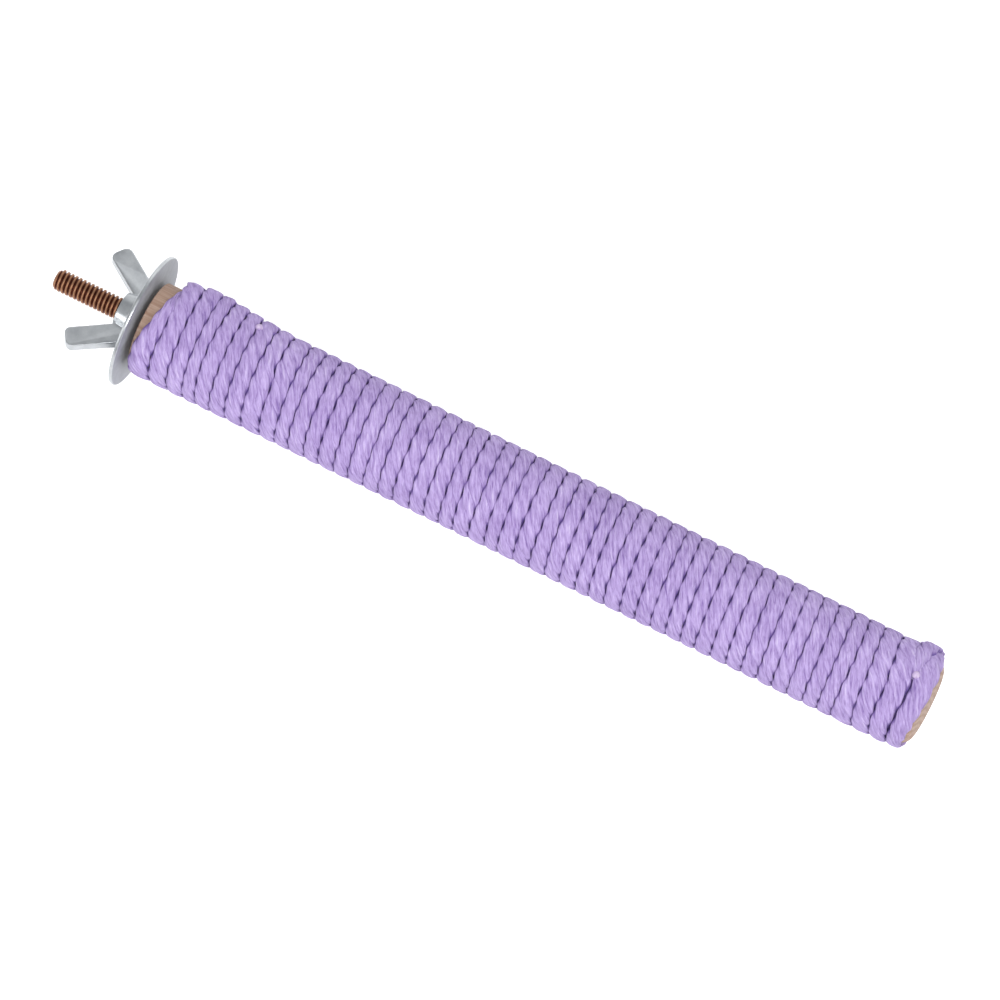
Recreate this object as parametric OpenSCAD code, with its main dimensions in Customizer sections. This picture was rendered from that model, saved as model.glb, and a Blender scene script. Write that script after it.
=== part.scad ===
// Bird perch: a dowel wound with cotton rope, held to a cage by a hanger bolt,
// a washer and a wing nut. +X runs from the cage end to the free end, +Z is up.
// The origin is the middle of the dowel's end face at the cage end.
// All sizes are in millimetres.

/* [Dowel] */
// Length of the dowel
core_len = 241; // [150:1:400]
// Diameter of the dowel
core_d = 25; // [18:0.5:36]
// Round on the edge of the end face at the cage end
core_edge_r = 0.8; // [0.3:0.1:2]
// Round on the edge of the end face at the free end
free_edge_r = 3.2; // [0.3:0.1:4]

/* [Rope winding] */
// Thickness of the rope as it lies flattened on the dowel
rope_t = 1.9; // [1.2:0.1:5]
// Turns of the winding
rope_turns = 24; // [12:1:24]
// Gap between neighbouring turns
turn_gap = 0.55; // [0.45:0.05:1]
// Bare dowel left at the cage end
bare_start = 2; // [0.5:0.1:8]
// Bare dowel left at the free end
bare_end = 0.9; // [0.5:0.1:8]
// Room between the rope's underside and the dowel
rope_bed = 0.2; // [0.1:0.05:0.4]
// Diameter of the rope before the winding flattens it
rope_d = 3.5; // [2.5:0.1:5]
// Diameter of the glue dab at each rope end
dab_d = 2.6; // [1.5:0.1:4]
// Turns from the rope's start to the seam that holds the first dab
start_dab_turns = 2; // [1:1:6]

/* [Hanger bolt] */
// Outer diameter of the machine thread
stud_d = 6.3; // [4:0.1:8]
// Pitch of the machine thread
stud_pitch = 1.27; // [0.8:0.01:1.5]
// Length of the bolt that stands out of the dowel
stud_len = 29.2; // [24:0.1:50]
// Plain shank at the dowel's mouth
shank_len = 4; // [2:0.5:8]
// Length of the wood-screw thread
screw_len = 24; // [15:1:40]
// Pitch of the wood-screw thread
screw_pitch = 2.4; // [1.5:0.1:3]
// Diameter of the wood screw between its threads
screw_root_d = 4.5; // [2.5:0.1:5]

/* [Washer] */
// Outer diameter of the washer
washer_d = 39.2; // [30:0.1:50]
// Thickness of the washer
washer_t = 1.1; // [0.8:0.1:2]
// Hole in the washer
washer_hole_d = 7.5; // [6.7:0.1:9]
// Gap between the washer and the dowel, where the cage wires go
clamp_gap = 1.33; // [0.6:0.01:6]

/* [Wing nut] */
// Distance across the wing tips
wing_span = 35.6; // [28:0.1:44]
// Height of the nut, from its base to the wing tips
nut_h = 16.5; // [14:0.1:22]
// Height of the hub
hub_h = 6.4; // [5:0.1:9]
// Diameter of the hub at its base
hub_base_d = 13; // [11:0.1:16]
// Diameter of the hub at its top
hub_top_d = 10.6; // [9:0.1:13]
// Width of a wing, across its flat face
wing_w = 6.2; // [4:0.1:8]
// Thickness of a wing
wing_t = 3; // [1.5:0.1:3.5]
// Radius of the corners at a wing's tip
wing_corner_r = 1.8; // [0.5:0.1:2.8]
// Angle between each wing and the bolt
wing_splay = 34.5; // [20:0.5:50]
// Turn of the nut about the bolt, counted from wings level
nut_turn = 10; // [0:1:45]
// Clearance between the nut and the bolt's thread, on the radius
nut_clear = 0.06; // [0.02:0.01:0.1]

/* [Hidden] */
$fn = 96;

// How far a cutting shape runs past what it cuts
over = 1;

// Dowel
core_r = core_d / 2;
arc_steps = 6;

// Winding
// Rings of the tube in one turn
turn_rings = 24;
// Width of the rope's flat outer face, as a share of its width
rope_flat_share = 0.5;
wound_len = core_len - bare_start - bare_end;
// Length of one turn along the dowel, with both ends' own width left inside the winding
turn_pitch = (wound_len + turn_gap) / (rope_turns + 1);
rope_w = turn_pitch - turn_gap;
rope_out_r = core_r + rope_bed + rope_t;
// The rings are chords of a circle, so the bed is widened to clear the dowel between them
rope_in_r = (core_r + rope_bed) / cos(180 / turn_rings);
rope_mid_r = (rope_out_r + rope_in_r) / 2;
first_turn_x = bare_start + rope_w / 2;
// Angles of the dabs round the dowel, counted from +Y towards +Z
start_dab_angle = 51;
end_dab_angle = 83;
// The rope's last straight run stops at the last dab, and the turns are whole, so it starts there too
start_angle = end_dab_angle - atan(rope_d / rope_mid_r);
rope_rise = turn_pitch / (2 * PI * rope_mid_r);
// The first dab fills the seam between two turns, and the last one covers the rope's cut end
start_dab_x = first_turn_x + turn_pitch * (start_dab_turns + 1 / 2 + (start_dab_angle - start_angle) / 360);
end_dab_x = first_turn_x + turn_pitch * rope_turns + rope_rise * rope_d;
// Depth of a dab in the rope, as a share of its diameter
dab_sink_share = 0.7;

// Hanger bolt
stud_r = stud_d / 2;
// Angle of a thread's flank to the bolt's cross-section
flank_angle = 30;
// Thread under the nut: width of its crest and its depth, as shares of the pitch
thread_crest_share = 0.125;
thread_depth_share = 0.61;
// Thread beyond the nut, with crests left broad enough for a sleeve to bear on
free_crest_share = 0.62;
free_depth_share = 0.28;
// Threadless stretch next to the dowel
stud_runout = stud_pitch;
// Chamfer at the stud's tip
stud_chamfer = stud_pitch * thread_depth_share;
stud_threads = floor((stud_len - stud_runout - stud_chamfer) / stud_pitch);
// Crest of the wood screw, as a share of its pitch
screw_crest_share = 0.1;
screw_root_r = screw_root_d / 2;
// Cone at the screw's point
screw_point_len = screw_root_d;
screw_threads = floor((screw_len - screw_point_len) / screw_pitch);
// Room left in the pilot hole beyond the screw's point
pilot_spare = 1;
screw_end_x = shank_len + screw_len;

// Washer
washer_face_x = -clamp_gap;
nut_base_x = washer_face_x - washer_t;
nut_top_x = nut_base_x - hub_h;
// Round on the washer's rim, as a share of its thickness
washer_edge_share = 0.35;
washer_edge_r = washer_t * washer_edge_share;

// Wing nut
nut_bore_r = stud_r + nut_clear;
hub_base_r = hub_base_d / 2;
hub_top_r = hub_top_d / 2;
// Countersink at the bore's mouth and chamfer at the base's edge, as a share of the thread's pitch
sink_share = 0.4;
sink = stud_pitch * sink_share;
// Root of a wing: its thickness and length, as shares of the wing's own
wing_root_t_share = 1.6;
wing_root_len_share = 0.5;
// Distance across a wing from its middle line to the centre of a tip corner
corner_out = wing_w / 2 - wing_corner_r;
// Distances along a wing's middle line from where it crosses the bolt's, which is below the base
corner_along = (wing_span / 2 - wing_corner_r - corner_out * cos(wing_splay)) / sin(wing_splay);
wing_len = corner_along + wing_corner_r;
wing_foot = corner_along * cos(wing_splay) + corner_out * sin(wing_splay) + wing_corner_r - nut_h;

// Points of an arc about a centre
function arc(centre, r, from, to) =
    [for (i = [0 : arc_steps])
        let (a = from + (to - from) * i / arc_steps)
        centre + r * [cos(a), sin(a)]];

// A solid of revolution about X, from an outline of [x, radius] points
module turned(outline) {
    rotate([0, 90, 0])
        rotate([0, 0, 90])
            rotate_extrude()
                polygon([for (p = outline) [p[1], p[0]]]);
}

// Bore for the hanger bolt: a clearance for the shank, then a pilot hole for the screw
module bolt_bore() {
    turned([
        [-over, 0],
        [-over, stud_r],
        [shank_len, stud_r],
        [shank_len + stud_r - screw_root_r, screw_root_r],
        [screw_end_x + pilot_spare, screw_root_r],
        [screw_end_x + pilot_spare + screw_root_r, 0]]);
}

module wood_core() {
    color("burlywood")
    difference() {
        turned(concat(
            [[0, 0]],
            arc([core_edge_r, core_r - core_edge_r], core_edge_r, 180, 90),
            arc([core_len - free_edge_r, core_r - free_edge_r], free_edge_r, 90, 0),
            [[core_len, 0]]));
        bolt_bore();
    }
}

// The rope's flattened section, as [along the dowel, distance from its middle line]
rope_section = [
    [-rope_w / 2, rope_mid_r],
    [-rope_w / 2 * rope_flat_share, rope_out_r],
    [rope_w / 2 * rope_flat_share, rope_out_r],
    [rope_w / 2, rope_mid_r],
    [rope_w / 2 * rope_flat_share, rope_in_r],
    [-rope_w / 2 * rope_flat_share, rope_in_r]];
rope_sides = len(rope_section);

// One ring of the winding: the section at a count of rings from the rope's start
function rope_ring(i) =
    let (a = start_angle + 360 * i / turn_rings,
         x = first_turn_x + turn_pitch * i / turn_rings)
    [for (p = rope_section) [x + p[0], p[1] * cos(a), p[1] * sin(a)]];

// Direction in which the rope runs at a ring
function rope_run(i) =
    let (a = start_angle + 360 * i / turn_rings,
         v = [rope_rise, -sin(a), cos(a)])
    v / norm(v);

last_ring = rope_turns * turn_rings;
// Each end runs straight for one diameter of the rope
rope_rings = concat(
    [[for (p = rope_ring(0)) p - rope_run(0) * rope_d]],
    [for (i = [0 : last_ring]) rope_ring(i)],
    [[for (p = rope_ring(last_ring)) p + rope_run(last_ring) * rope_d]]);
ring_count = len(rope_rings);

// Least distance between the points of neighbouring turns
least_gap = min([for (i = [0 : ring_count - turn_rings - 1])
    min([for (k = [-2 : 2])
        let (j = min(max(i + turn_rings + k, 0), ring_count - 1))
        min([for (p = rope_rings[i]) min([for (q = rope_rings[j]) norm(p - q)])])])]);
echo(str("Least gap between turns of the rope: ", least_gap, " mm"));
echo(str("Length of the modelled rope: ", rope_turns * 2 * PI * rope_mid_r + 2 * rope_d, " mm"));

module rope_winding() {
    sides = [for (r = [0 : ring_count - 2], s = [0 : rope_sides - 1])
        let (a = r * rope_sides + s,
             b = r * rope_sides + (s + 1) % rope_sides,
             c = a + rope_sides,
             d = b + rope_sides)
        each [[a, c, b], [b, c, d]]];
    first_cap = [for (s = [1 : rope_sides - 2]) [0, s, s + 1]];
    last = (ring_count - 1) * rope_sides;
    last_cap = [for (s = [1 : rope_sides - 2]) [last, last + s + 1, last + s]];
    color("mediumpurple")
        polyhedron(points = [for (r = rope_rings) each r], faces = concat(first_cap, sides, last_cap));
}

// A drop of glue sunk into the rope
module glue_dab(x, angle) {
    color("lavenderblush")
    rotate([angle, 0, 0])
        translate([x, rope_out_r + dab_d * (1 / 2 - dab_sink_share), 0])
            sphere(d = dab_d, $fn = 24);
}

module start_glue() {
    glue_dab(start_dab_x, start_dab_angle);
}

module end_glue() {
    glue_dab(end_dab_x, end_dab_angle);
}

// One thread as points of an outline that runs along +X: its crest, then the groove behind it
function thread(x, pitch, crest, crest_r, depth) =
    let (flank = depth * tan(flank_angle), root_r = crest_r - depth)
    [[x, crest_r], [x + crest, crest_r], [x + crest + flank, root_r], [x + pitch - flank, root_r]];

// A thread of the stud, which is full under the nut and blunter beyond it
function stud_thread(x) =
    x + stud_pitch < nut_top_x
        ? thread(x, stud_pitch, stud_pitch * free_crest_share, stud_r, stud_pitch * free_depth_share)
        : thread(x, stud_pitch, stud_pitch * thread_crest_share, stud_r, stud_pitch * thread_depth_share);

module hanger_bolt() {
    thread_start_x = stud_chamfer - stud_len;
    screw_crest = screw_pitch * screw_crest_share;
    screw_depth = stud_r - screw_root_r;
    color("sienna")
    turned(concat(
        [[-stud_len, 0], [-stud_len, stud_r - stud_chamfer]],
        [for (i = [0 : stud_threads - 1])
            each stud_thread(thread_start_x + i * stud_pitch)],
        [[thread_start_x + stud_threads * stud_pitch, stud_r],
         [shank_len, stud_r],
         [shank_len + screw_depth, screw_root_r]],
        [for (i = [1 : screw_threads - 1])
            each thread(shank_len + i * screw_pitch, screw_pitch, screw_crest, stud_r, screw_depth)],
        [[screw_end_x - screw_point_len, screw_root_r], [screw_end_x, 0]]));
}

module washer() {
    inner_r = washer_hole_d / 2;
    outer_r = washer_d / 2;
    color("silver")
    turned(concat(
        [[nut_base_x, inner_r]],
        arc([nut_base_x + washer_edge_r, outer_r - washer_edge_r], washer_edge_r, 180, 90),
        arc([washer_face_x - washer_edge_r, outer_r - washer_edge_r], washer_edge_r, 90, 0),
        [[washer_face_x, inner_r]]));
}

// Outline of one wing in its own plane, from the bolt's middle line out to its tip
module wing_outline(length, width, corner) {
    polygon(concat(
        [[0, -width / 2]],
        arc([length - corner, corner - width / 2], corner, -90, 0),
        arc([length - corner, width / 2 - corner], corner, 0, 90),
        [[0, width / 2]]));
}

// One wing, splayed from the nut's middle line, as thick as is asked for
module wing(thickness, share) {
    translate([wing_foot, 0, -thickness / 2])
        rotate([0, 0, 180 - wing_splay])
            linear_extrude(height = thickness)
                wing_outline(wing_len * share, wing_w, wing_corner_r);
}

module wing_nut() {
    color("gainsboro")
    translate([nut_base_x, 0, 0])
    rotate([-nut_turn, 0, 0])
    difference() {
        union() {
            turned([[0, 0], [0, hub_base_r], [-sink, hub_base_r], [-hub_h, hub_top_r], [-hub_h, 0]]);
            intersection() {
                for (side = [0, 1]) {
                    mirror([0, side, 0]) {
                        wing(wing_t, 1);
                        wing(wing_t * wing_root_t_share, wing_root_len_share);
                    }
                }
                translate([-nut_h - over, -wing_span, -wing_span])
                    cube([nut_h + over, 2 * wing_span, 2 * wing_span]);
            }
        }
        turned([[over, 0], [over, nut_bore_r], [-hub_h - over, nut_bore_r], [-hub_h - over, 0]]);
        turned([
            [-hub_h - over, 0],
            [-hub_h - over, nut_bore_r + sink + over],
            [-hub_h + sink, nut_bore_r],
            [-hub_h + sink, 0]]);
    }
}

wood_core();
rope_winding();
start_glue();
end_glue();
hanger_bolt();
washer();
wing_nut();
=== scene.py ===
"""A bird perch: a dowel wound with lilac cotton rope, with a stud, washer and wing nut at its cage end."""

import math
import random

import bpy
import numpy as np
from mathutils import Matrix, Vector


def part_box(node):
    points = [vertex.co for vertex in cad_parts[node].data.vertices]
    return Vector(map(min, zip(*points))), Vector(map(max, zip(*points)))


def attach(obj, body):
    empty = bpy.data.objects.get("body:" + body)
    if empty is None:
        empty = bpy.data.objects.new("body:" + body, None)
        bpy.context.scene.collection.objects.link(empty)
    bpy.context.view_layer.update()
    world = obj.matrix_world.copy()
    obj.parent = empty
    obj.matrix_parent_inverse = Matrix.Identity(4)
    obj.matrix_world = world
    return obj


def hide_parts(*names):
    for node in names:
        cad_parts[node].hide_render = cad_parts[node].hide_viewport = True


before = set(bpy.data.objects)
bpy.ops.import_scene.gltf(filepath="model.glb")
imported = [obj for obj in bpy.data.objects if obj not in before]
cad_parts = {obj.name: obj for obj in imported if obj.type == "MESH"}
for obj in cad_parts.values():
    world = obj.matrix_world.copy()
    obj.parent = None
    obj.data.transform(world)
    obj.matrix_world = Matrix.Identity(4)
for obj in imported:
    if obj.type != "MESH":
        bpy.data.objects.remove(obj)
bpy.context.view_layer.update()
bpy.ops.object.select_all(action="DESELECT")

MM = 0.001
FULL_TURN = 360.0
FULL_ANGLE = 2 * math.pi

# Sizes that the CAD nodes give, in metres
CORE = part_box("wood_core")
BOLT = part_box("hanger_bolt")
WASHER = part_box("washer")
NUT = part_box("wing_nut")
STUD_TIP_X = BOLT[0].x
SCREW_TIP_X = BOLT[1].x
WASHER_R = WASHER[1].z
NUT_BASE_X = NUT[1].x
NUT_TIP_X = NUT[0].x

# And in millimetres
core_r = CORE[1].z / MM
core_len = CORE[1].x / MM
stud_r = BOLT[1].z / MM


def eased(share):
    """A share that leaves 0 and reaches 1 gently."""
    return share * share * (3 - 2 * share)


def held(share):
    """A share held between 0 and 1."""
    return min(1, max(0, share))


# The camera: where it stands round the object, how far off, and the point it looks at

CAMERA_AZIMUTH = math.radians(27.6)
CAMERA_ELEVATION = math.radians(69.7)
CAMERA_DISTANCE = 2.42
CAMERA_LENS = 317
CAMERA_SENSOR = 36
CAMERA_REACH = (0.1, 20)
LOOK_AT = Vector((110.1, -1.017, -0.333)) * MM


def camera():
    """The photograph's view, from above and a little to the free end's side."""
    data = bpy.data.cameras.new("camera")
    data.lens = CAMERA_LENS
    data.sensor_width = CAMERA_SENSOR
    data.clip_start, data.clip_end = CAMERA_REACH
    found = bpy.data.objects.new("camera", data)
    bpy.context.scene.collection.objects.link(found)
    back = Vector((
        math.sin(CAMERA_AZIMUTH) * math.cos(CAMERA_ELEVATION),
        -math.cos(CAMERA_AZIMUTH) * math.cos(CAMERA_ELEVATION),
        math.sin(CAMERA_ELEVATION)))
    found.location = LOOK_AT + back * CAMERA_DISTANCE
    found.rotation_euler = (-back).to_track_quat("-Z", "Y").to_euler()
    bpy.context.scene.camera = found


camera()


# Materials

def linear(code):
    """An sRGB hex colour as linear RGBA."""
    parts = [int(code[i:i + 2], 16) / 255 for i in (1, 3, 5)]
    return tuple(p / 12.92 if p <= 0.04045 else ((p + 0.055) / 1.055) ** 2.4 for p in parts) + (1,)


def material(name):
    """A new material and its surface shader."""
    made = bpy.data.materials.new(name)
    made.use_nodes = True
    return made, made.node_tree.nodes["Principled BSDF"]


def node(owner, kind, inputs=None, stops=(), **settings):
    """Adds a node. Inputs are its sockets' values or what feeds them, settings are its own properties,
    and stops are a colour ramp's (place, hex colour) pairs."""
    added = owner.node_tree.nodes.new(kind)
    for name, value in settings.items():
        setattr(added, name, value)
    for key, value in (inputs or {}).items():
        if isinstance(value, bpy.types.NodeSocket):
            owner.node_tree.links.new(value, added.inputs[key])
        else:
            added.inputs[key].default_value = value
    if stops:
        elements = added.color_ramp.elements
        while len(elements) < len(stops):
            elements.new(0.5)
        for element, (place, code) in zip(elements, stops):
            element.position = place
            element.color = linear(code)
    return added


def feed(owner, shader, **sockets):
    """Links outputs to the shader's sockets, whose names have _ for a space."""
    for name, output in sockets.items():
        owner.node_tree.links.new(output, shader.inputs[name.replace("_", " ")])


def per(size):
    """A pattern's scale on Object coordinates, from the size of its features in millimetres."""
    return 1 / (size * MM)


# Features in a millimetre across and along a strand: yarns are 0.43 mm wide and 4.5 mm long, and fibres
# 0.2 mm wide and 1.7 mm long, which is coarser than cotton's own, so that they show
YARNS_A_MM = (2.3, 0.22, 1)
FIBRES_A_MM = (5.0, 0.6, 1)
# The dye took unevenly in patches of this size, and the yarns stand this far out, in millimetres
BLOTCH = 11.11
YARN_RELIEF = 0.45


def cotton_rope():
    """Dyed cotton, three-strand twisted: matt and fuzzy, with paler and darker yarns along each strand, and
    painted shade in the seams between strands and towards the rope's underside.
    """
    made, shader = material("twisted_cotton_lilac")
    strand = node(made, "ShaderNodeUVMap", uv_map="yarn").outputs["UV"]
    yarns = node(made, "ShaderNodeMapping", {"Vector": strand, "Scale": YARNS_A_MM})
    fibres = node(made, "ShaderNodeMapping", {"Vector": strand, "Scale": FIBRES_A_MM})
    yarn = node(made, "ShaderNodeTexNoise", {
        "Vector": yarns.outputs["Vector"], "Scale": 1, "Detail": 3, "Roughness": 0.55, "Distortion": 0.4})
    fibre = node(made, "ShaderNodeTexNoise", {
        "Vector": fibres.outputs["Vector"], "Scale": 1, "Detail": 4, "Roughness": 0.65, "Distortion": 0.6})
    place = node(made, "ShaderNodeTexCoord")
    blotches = node(made, "ShaderNodeTexNoise", {
        "Vector": place.outputs["Object"], "Scale": per(BLOTCH), "Detail": 2, "Roughness": 0.5})
    # The three patterns are summed by their shares of the dye's unevenness
    mixed = 0.0
    for pattern, share in ((yarn, 0.55), (fibre, 0.3), (blotches, 0.15)):
        mixed = node(made, "ShaderNodeMath", {0: pattern.outputs["Fac"], 1: share, 2: mixed},
                     operation="MULTIPLY_ADD").outputs["Value"]
    # Painted shade: the yarn colour is darkened by the 'open' share, in the seams between strands and
    # towards the rope's underside
    open_share = node(made, "ShaderNodeAttribute", attribute_name="open", attribute_type="GEOMETRY")
    shaded = node(made, "ShaderNodeMath", {0: mixed, 1: open_share.outputs["Fac"]}, operation="MULTIPLY")
    colour = node(made, "ShaderNodeValToRGB", {"Fac": shaded.outputs["Value"]}, [
        (0.05, "#664f9c"), (0.36, "#8a71b0"), (0.46, "#ad96cd"), (0.55, "#c1abe0"), (0.66, "#dccdf1")])
    height = node(made, "ShaderNodeMath", {0: fibre.outputs["Fac"], 1: 0.5, 2: yarn.outputs["Fac"]},
                  operation="MULTIPLY_ADD")
    bump = node(made, "ShaderNodeBump", {
        "Height": height.outputs["Value"], "Strength": 1.0, "Distance": YARN_RELIEF * MM})
    feed(made, shader, Base_Color=colour.outputs["Color"], Normal=bump.outputs["Normal"])
    shader.inputs["Roughness"].default_value = 0.92
    shader.inputs["Specular IOR Level"].default_value = 0.25
    shader.inputs["Sheen Weight"].default_value = 0.35
    shader.inputs["Sheen Roughness"].default_value = 0.5
    shader.inputs["Sheen Tint"].default_value = linear("#d9c9f2")
    return made


# Birch's grain and yearly rings in millimetres. The grain is drawn as coarse as it needs to be to show
GRAIN_LENGTH = 16.67
GRAIN_WIDTH = 0.6667
GRAIN_RELIEF = 0.1
RING_WIDTH = 2.094
# Blender's wave pattern has this many radians in a unit of its scale
WAVE_RATE = 20
HEART_OFF_AXIS = (0, 30 * MM, 12 * MM)
RINGS_DRAWN_OUT = 0.15
# How strongly the rings show on the dowel's side and on its sawn ends, and where that changes
RING_SHARES = (0.07, 0.22)
END_GRAIN_FROM = 0.8
END_GRAIN_FULL = 0.1
# Painted shade under the rope: between these distances from the cage end the wood is painted dark purple,
# so that it shows dark in the rope's seams
UNDER_ROPE_SHADE_FROM = 6.3
UNDER_ROPE_SHADE_TO = 237.0
UNDER_ROPE_SHADE_EDGE = 1.5


def birch_dowel():
    """Bare sanded birch: pale tan, with fine grain along it, rings on its ends and painted shade under the
    rope.
    """
    made, shader = material("sanded_birch")
    half = core_len / 2
    side_share, end_share = RING_SHARES
    place = node(made, "ShaderNodeTexCoord").outputs["Object"]
    grain = node(made, "ShaderNodeMapping", {
        "Vector": place, "Scale": (per(GRAIN_LENGTH), per(GRAIN_WIDTH), per(GRAIN_WIDTH))})
    streaks = node(made, "ShaderNodeTexNoise", {
        "Vector": grain.outputs["Vector"], "Scale": 1, "Detail": 5, "Roughness": 0.6, "Distortion": 0.3})
    heart = node(made, "ShaderNodeMapping", {
        "Vector": place, "Location": HEART_OFF_AXIS, "Scale": (RINGS_DRAWN_OUT, 1, 1)})
    rings = node(made, "ShaderNodeTexWave", {
        "Vector": heart.outputs["Vector"], "Scale": FULL_ANGLE / WAVE_RATE * per(RING_WIDTH),
        "Distortion": 2.5, "Detail": 2, "Detail Scale": 2.0}, wave_type="RINGS", rings_direction="X")
    along = node(made, "ShaderNodeSeparateXYZ", {"Vector": place}).outputs["X"]
    off_middle = node(made, "ShaderNodeMath", {0: along, 1: half * MM}, operation="SUBTRACT")
    from_middle = node(made, "ShaderNodeMath", {0: off_middle.outputs["Value"]}, operation="ABSOLUTE")
    ring_share = node(made, "ShaderNodeMapRange", {
        "Value": from_middle.outputs["Value"], "From Min": (half - END_GRAIN_FROM) * MM,
        "From Max": (half - END_GRAIN_FULL) * MM, "To Min": side_share, "To Max": end_share})
    both = node(made, "ShaderNodeMath", {
        0: rings.outputs["Fac"], 1: ring_share.outputs["Result"], 2: streaks.outputs["Fac"]},
        operation="MULTIPLY_ADD")
    wood = node(made, "ShaderNodeValToRGB", {"Fac": both.outputs["Value"]}, [
        (0.3, "#9b7866"), (0.52, "#ac8e7b"), (0.74, "#c1a593")])
    # Painted shade: under the rope the wood colour is mixed towards dark purple
    from_start = node(made, "ShaderNodeMapRange", {
        "Value": along, "From Min": UNDER_ROPE_SHADE_FROM * MM, "From Max": (UNDER_ROPE_SHADE_FROM + UNDER_ROPE_SHADE_EDGE) * MM})
    from_end = node(made, "ShaderNodeMapRange", {
        "Value": along, "From Min": (UNDER_ROPE_SHADE_TO + UNDER_ROPE_SHADE_EDGE) * MM, "From Max": UNDER_ROPE_SHADE_TO * MM})
    under_rope_shade = node(made, "ShaderNodeMath", {
        0: from_start.outputs["Result"], 1: from_end.outputs["Result"]}, operation="MULTIPLY")
    colour = node(made, "ShaderNodeMixRGB", {
        "Fac": under_rope_shade.outputs["Value"], "Color1": wood.outputs["Color"], "Color2": linear("#57427e")})
    bump = node(made, "ShaderNodeBump", {
        "Height": streaks.outputs["Fac"], "Strength": 0.4, "Distance": GRAIN_RELIEF * MM})
    feed(made, shader, Base_Color=colour.outputs["Color"], Normal=bump.outputs["Normal"])
    shader.inputs["Roughness"].default_value = 0.7
    return made


# Zinc clouds over in patches of this size in millimetres. Its pits are finer, and drawn as coarse as they
# need to show
ZINC_CLOUD = 2.857
ZINC_PIT = 0.3846
ZINC_RELIEF = 0.03
ZINC_DULLING = (-0.05, 0.07)


def zinc(name, dark, pale, roughness, metallic):
    """Zinc plating on steel: a grey metal, brighter where it is forged, faintly clouded, with dull skin."""
    made, shader = material(name)
    brightest, dullest = (roughness + change for change in ZINC_DULLING)
    place = node(made, "ShaderNodeTexCoord").outputs["Object"]
    clouds = node(made, "ShaderNodeTexNoise", {
        "Vector": place, "Scale": per(ZINC_CLOUD), "Detail": 4, "Roughness": 0.6})
    pits = node(made, "ShaderNodeTexNoise", {
        "Vector": place, "Scale": per(ZINC_PIT), "Detail": 3, "Roughness": 0.7})
    colour = node(made, "ShaderNodeValToRGB", {"Fac": clouds.outputs["Fac"]}, [
        (0.35, dark), (0.65, pale)])
    rough = node(made, "ShaderNodeMapRange", {
        "Value": clouds.outputs["Fac"], "From Min": 0.3, "From Max": 0.7,
        "To Min": brightest, "To Max": dullest})
    bump = node(made, "ShaderNodeBump", {
        "Height": pits.outputs["Fac"], "Strength": 0.25, "Distance": ZINC_RELIEF * MM})
    feed(made, shader, Base_Color=colour.outputs["Color"], Roughness=rough.outputs["Result"],
         Normal=bump.outputs["Normal"])
    shader.inputs["Metallic"].default_value = metallic
    return made


# The plating's tarnish lies in patches of this size in millimetres
COPPER_CLOUD = 2.0
COPPER_RELIEF = 0.05


def copper_plate():
    """Copper-coloured plating on rolled steel: a warm brown metal, with painted shade in the thread's
    roots.
    """
    made, shader = material("copper_plated_steel")
    place = node(made, "ShaderNodeTexCoord")
    clouds = node(made, "ShaderNodeTexNoise", {
        "Vector": place.outputs["Object"], "Scale": per(COPPER_CLOUD), "Detail": 4, "Roughness": 0.6})
    # Painted shade: the colour is darker where the 'crest' height is low, in the thread's roots
    crest = node(made, "ShaderNodeAttribute", attribute_name="crest", attribute_type="GEOMETRY")
    mixed = node(made, "ShaderNodeMath", {0: clouds.outputs["Fac"], 1: 0.35, 2: crest.outputs["Fac"]},
                 operation="MULTIPLY_ADD")
    colour = node(made, "ShaderNodeValToRGB", {"Fac": mixed.outputs["Value"]}, [
        (0.1, "#45231b"), (0.55, "#7f4a3b"), (1.0, "#a4795d")])
    bump = node(made, "ShaderNodeBump", {
        "Height": clouds.outputs["Fac"], "Strength": 0.3, "Distance": COPPER_RELIEF * MM})
    feed(made, shader, Base_Color=colour.outputs["Color"], Normal=bump.outputs["Normal"])
    shader.inputs["Metallic"].default_value = 1
    shader.inputs["Roughness"].default_value = 0.48
    return made


# The glue's skin set in wrinkles of this size in millimetres
GLUE_CLOUD = 1.111
GLUE_RELIEF = 0.15


def craft_glue():
    """A set drop of pale glue, with a soft skin and a tint of the rope under it."""
    made, shader = material("set_glue_pale")
    place = node(made, "ShaderNodeTexCoord")
    clouds = node(made, "ShaderNodeTexNoise", {
        "Vector": place.outputs["Object"], "Scale": per(GLUE_CLOUD), "Detail": 3, "Roughness": 0.6})
    colour = node(made, "ShaderNodeValToRGB", {"Fac": clouds.outputs["Fac"]}, [
        (0.3, "#b298c8"), (0.7, "#dccbe5")])
    bump = node(made, "ShaderNodeBump", {
        "Height": clouds.outputs["Fac"], "Strength": 0.5, "Distance": GLUE_RELIEF * MM})
    feed(made, shader, Base_Color=colour.outputs["Color"], Normal=bump.outputs["Normal"])
    shader.inputs["Roughness"].default_value = 0.5
    return made


ROPE_FINISH = cotton_rope()
WOOD_FINISH = birch_dowel()
WASHER_FINISH = zinc("zinc_plated_sheet", "#9a9da1", "#abaeb2", 0.5, 0.12)
NUT_FINISH = zinc("zinc_plated_forging", "#afb2b5", "#c0c3c5", 0.33, 1)
BOLT_FINISH = copper_plate()
GLUE_FINISH = craft_glue()


# Shaping

DOUBLES = 0.000001


def dress(piece, finish, slot, *nodes):
    """Gives a piece its finish and hides the CAD nodes that it stands for; its slot is not used."""
    piece.data.materials.clear()
    piece.data.materials.append(finish)
    if nodes:
        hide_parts(*nodes)
    return piece


def put_in_scene(mesh):
    """An object of the mesh's name for a mesh that code has made."""
    piece = bpy.data.objects.new(mesh.name, mesh)
    bpy.context.scene.collection.objects.link(piece)
    return piece


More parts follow.
